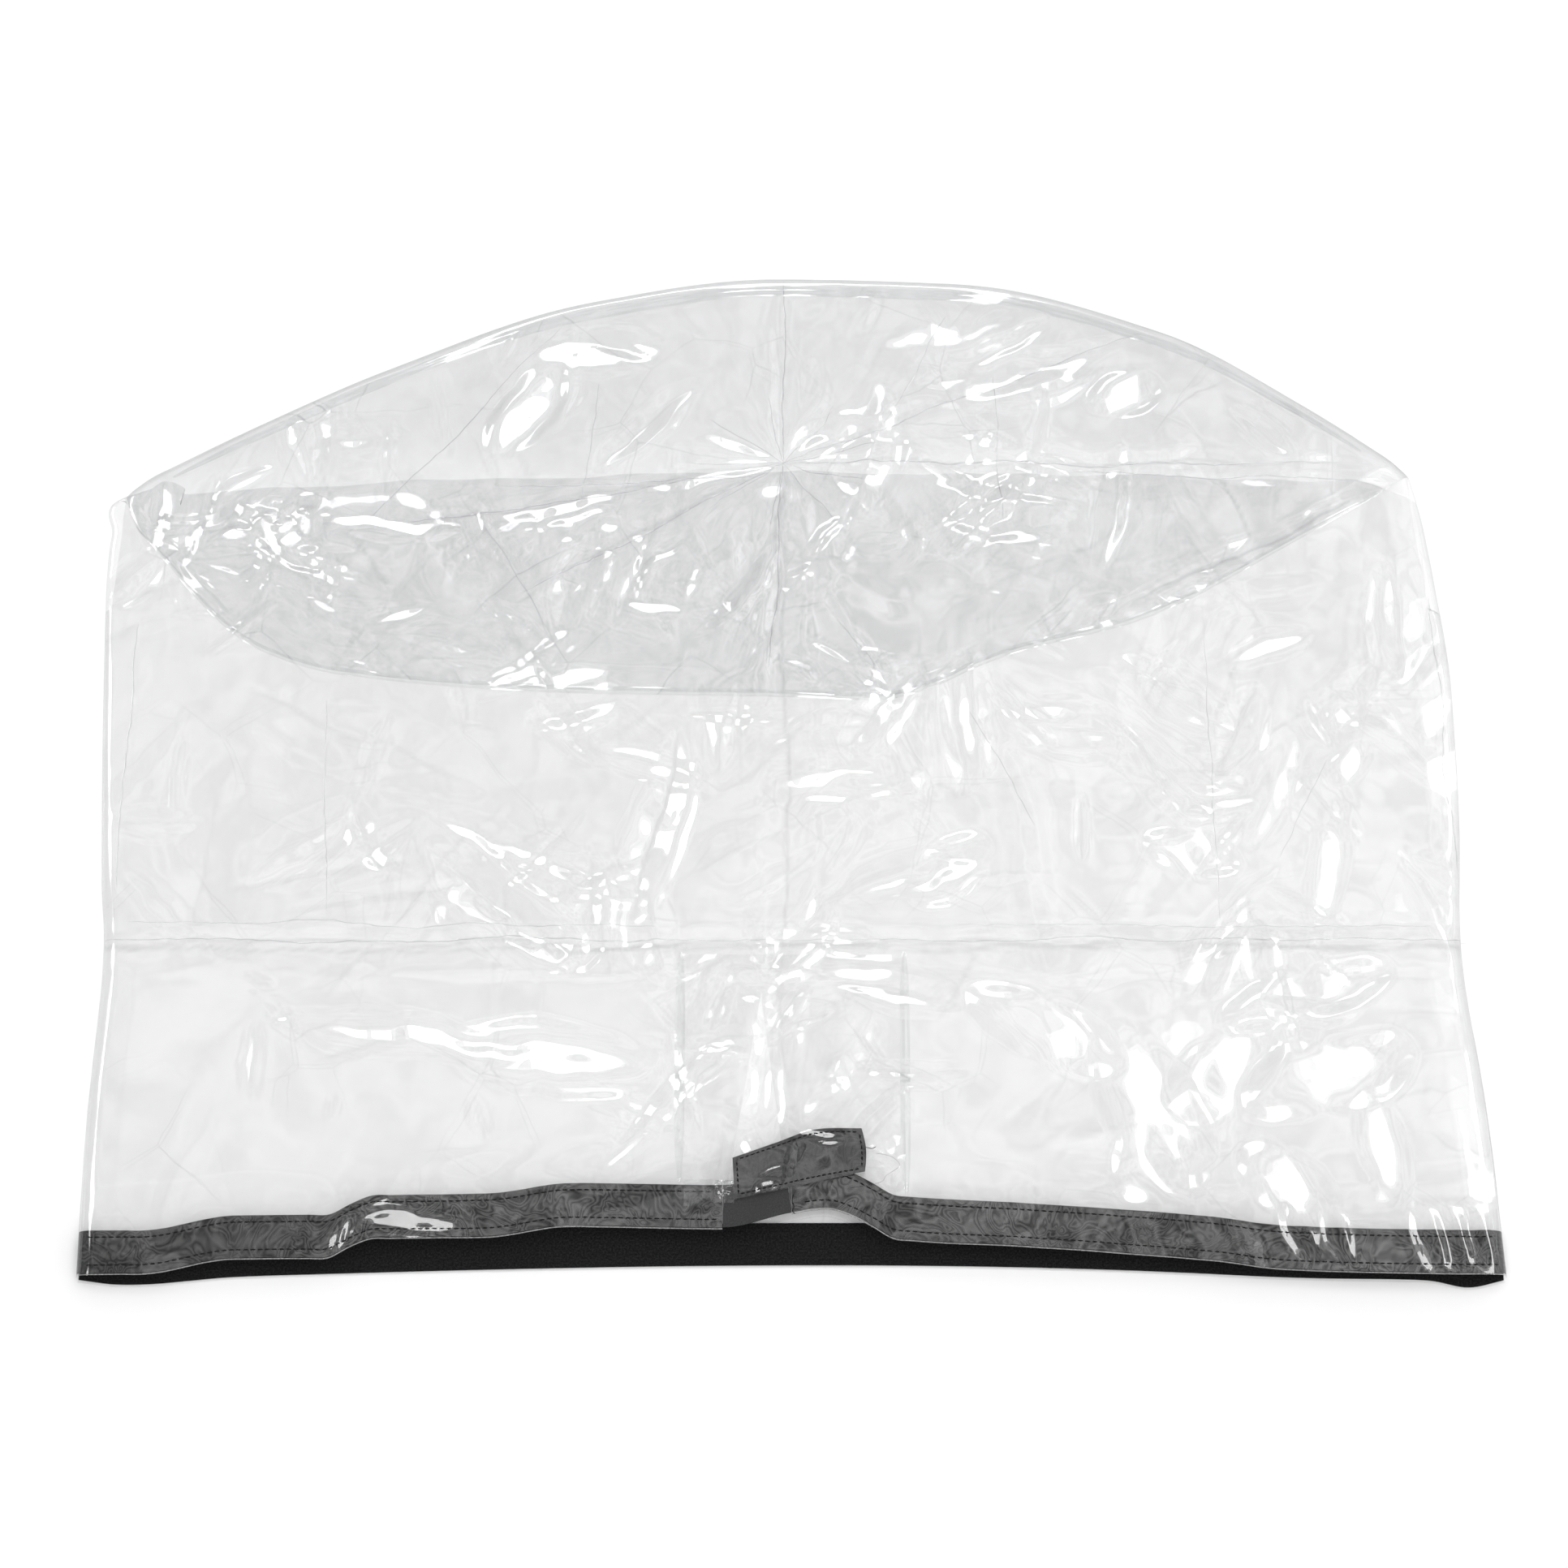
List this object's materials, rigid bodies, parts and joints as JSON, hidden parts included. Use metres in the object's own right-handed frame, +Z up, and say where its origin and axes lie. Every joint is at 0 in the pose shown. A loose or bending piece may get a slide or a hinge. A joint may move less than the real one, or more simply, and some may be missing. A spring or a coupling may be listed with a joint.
{
  "type": "clear film slip-over cover",
  "caption": "Clear glossy film cover with an oval crown, a straight wall, and a black hook-and-loop hem with a slit, a gusset and a closing tab, laid flat.",
  "frame": {"origin": "on the surface that the cover lies on, under the middle of its box", "axes": "+Z up, +Y from the hem to the crown, +X along the hem towards the free end of the closing tab"},
  "size_m": [0.8514, 0.645, 0.0224],
  "materials": {
    "clear_film": "clear glossy PVC film",
    "welded_film": "clear film, two layers welded into one",
    "loop_tape": "fuzzy black loop",
    "hook_tape": "fine black weave",
    "thread": "black sewing thread"
  },
  "bodies": {
    "cover": {"back_wall": "clear_film", "front_wall": "clear_film", "left_side_fold": "clear_film", "right_side_fold": "clear_film", "front_wall_turned_under": "clear_film", "crown": "clear_film", "back_crown_seam": "welded_film", "front_crown_seam": "welded_film", "back_hem_tape": "loop_tape", "left_side_tape": "loop_tape", "right_side_tape": "loop_tape", "back_hem_stitch_lower": "thread", "back_hem_stitch_upper": "thread"},
    "skirt": {"front_skirt": "clear_film", "gusset_panel": "clear_film", "gusset_weld_left": "welded_film", "gusset_weld_right": "welded_film", "left_hem_tape": "loop_tape", "right_hem_tape": "loop_tape", "hook_tongue": "hook_tape", "left_hem_stitch_lower": "thread", "left_hem_stitch_upper": "thread", "right_hem_stitch_lower": "thread", "right_hem_stitch_upper": "thread", "hem_end_patch": "clear_film"},
    "tab_root": {"tab_root_film": "clear_film"},
    "tab": {"tab_tape": "hook_tape", "tab_film": "clear_film", "tab_stitch": "thread"}
  },
  "joints": [
    {"name": "skirt_lift", "type": "hinge", "parent": "cover", "child": "skirt", "pos_m": [0.00195, -0.115, 0.01275], "axis": [-1, 0, 0], "range_deg": [0, 20]},
    {"name": "tab_swing", "type": "hinge", "parent": "skirt", "child": "tab_root", "pos_m": [-0.03855, -0.267, 0.01951], "axis": [0, 0.03, 0.9996], "range_deg": [-14, 30]},
    {"name": "tab_peel", "type": "hinge", "parent": "tab_root", "child": "tab", "pos_m": [-0.03305, -0.259, 0.02207], "axis": [0.0587, -0.9978, 0.0299], "range_deg": [0, 165]}
  ]
}
